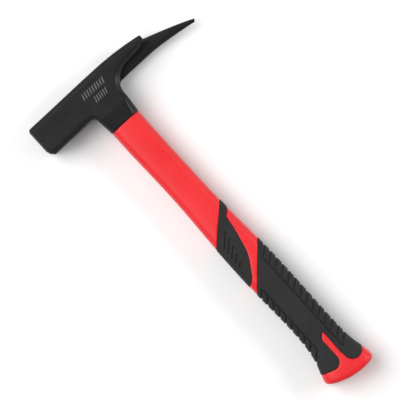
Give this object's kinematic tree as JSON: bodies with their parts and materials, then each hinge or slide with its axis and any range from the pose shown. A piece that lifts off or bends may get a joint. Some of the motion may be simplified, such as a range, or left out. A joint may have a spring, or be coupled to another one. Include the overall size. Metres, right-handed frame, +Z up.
{
  "type": "brick hammer",
  "caption": "Forged brick hammer with a square poll, a drooping pick, a short nail claw beside it and a red fibreglass-cored handle with black soft grips.",
  "frame": {"origin": "on the cheek that the hammer lies on, on the handle's axis and half way down the poll's height", "axes": "+X from the striking face towards the pick, +Y along the handle from the butt to the crown of the head, +Z up through the cheek that carries the claw"},
  "size_m": [0.1592, 0.32, 0.028],
  "materials": {
    "head_steel": "black lacquered forging, satin",
    "fibreglass": "cut end of a pultruded glass-fibre rod",
    "epoxy": "dark cast resin, glossy",
    "jacket_red": "moulded polypropylene, fine grain, semi-gloss",
    "soft_grip": "moulded thermoplastic rubber, matt"
  },
  "bodies": {
    "root": {"forged_head": "head_steel", "fibreglass_core": "fibreglass", "epoxy_bond": "epoxy", "handle_jacket": "jacket_red", "upper_grip_pad": "soft_grip", "main_grip": "soft_grip"}
  },
  "joints": []
}
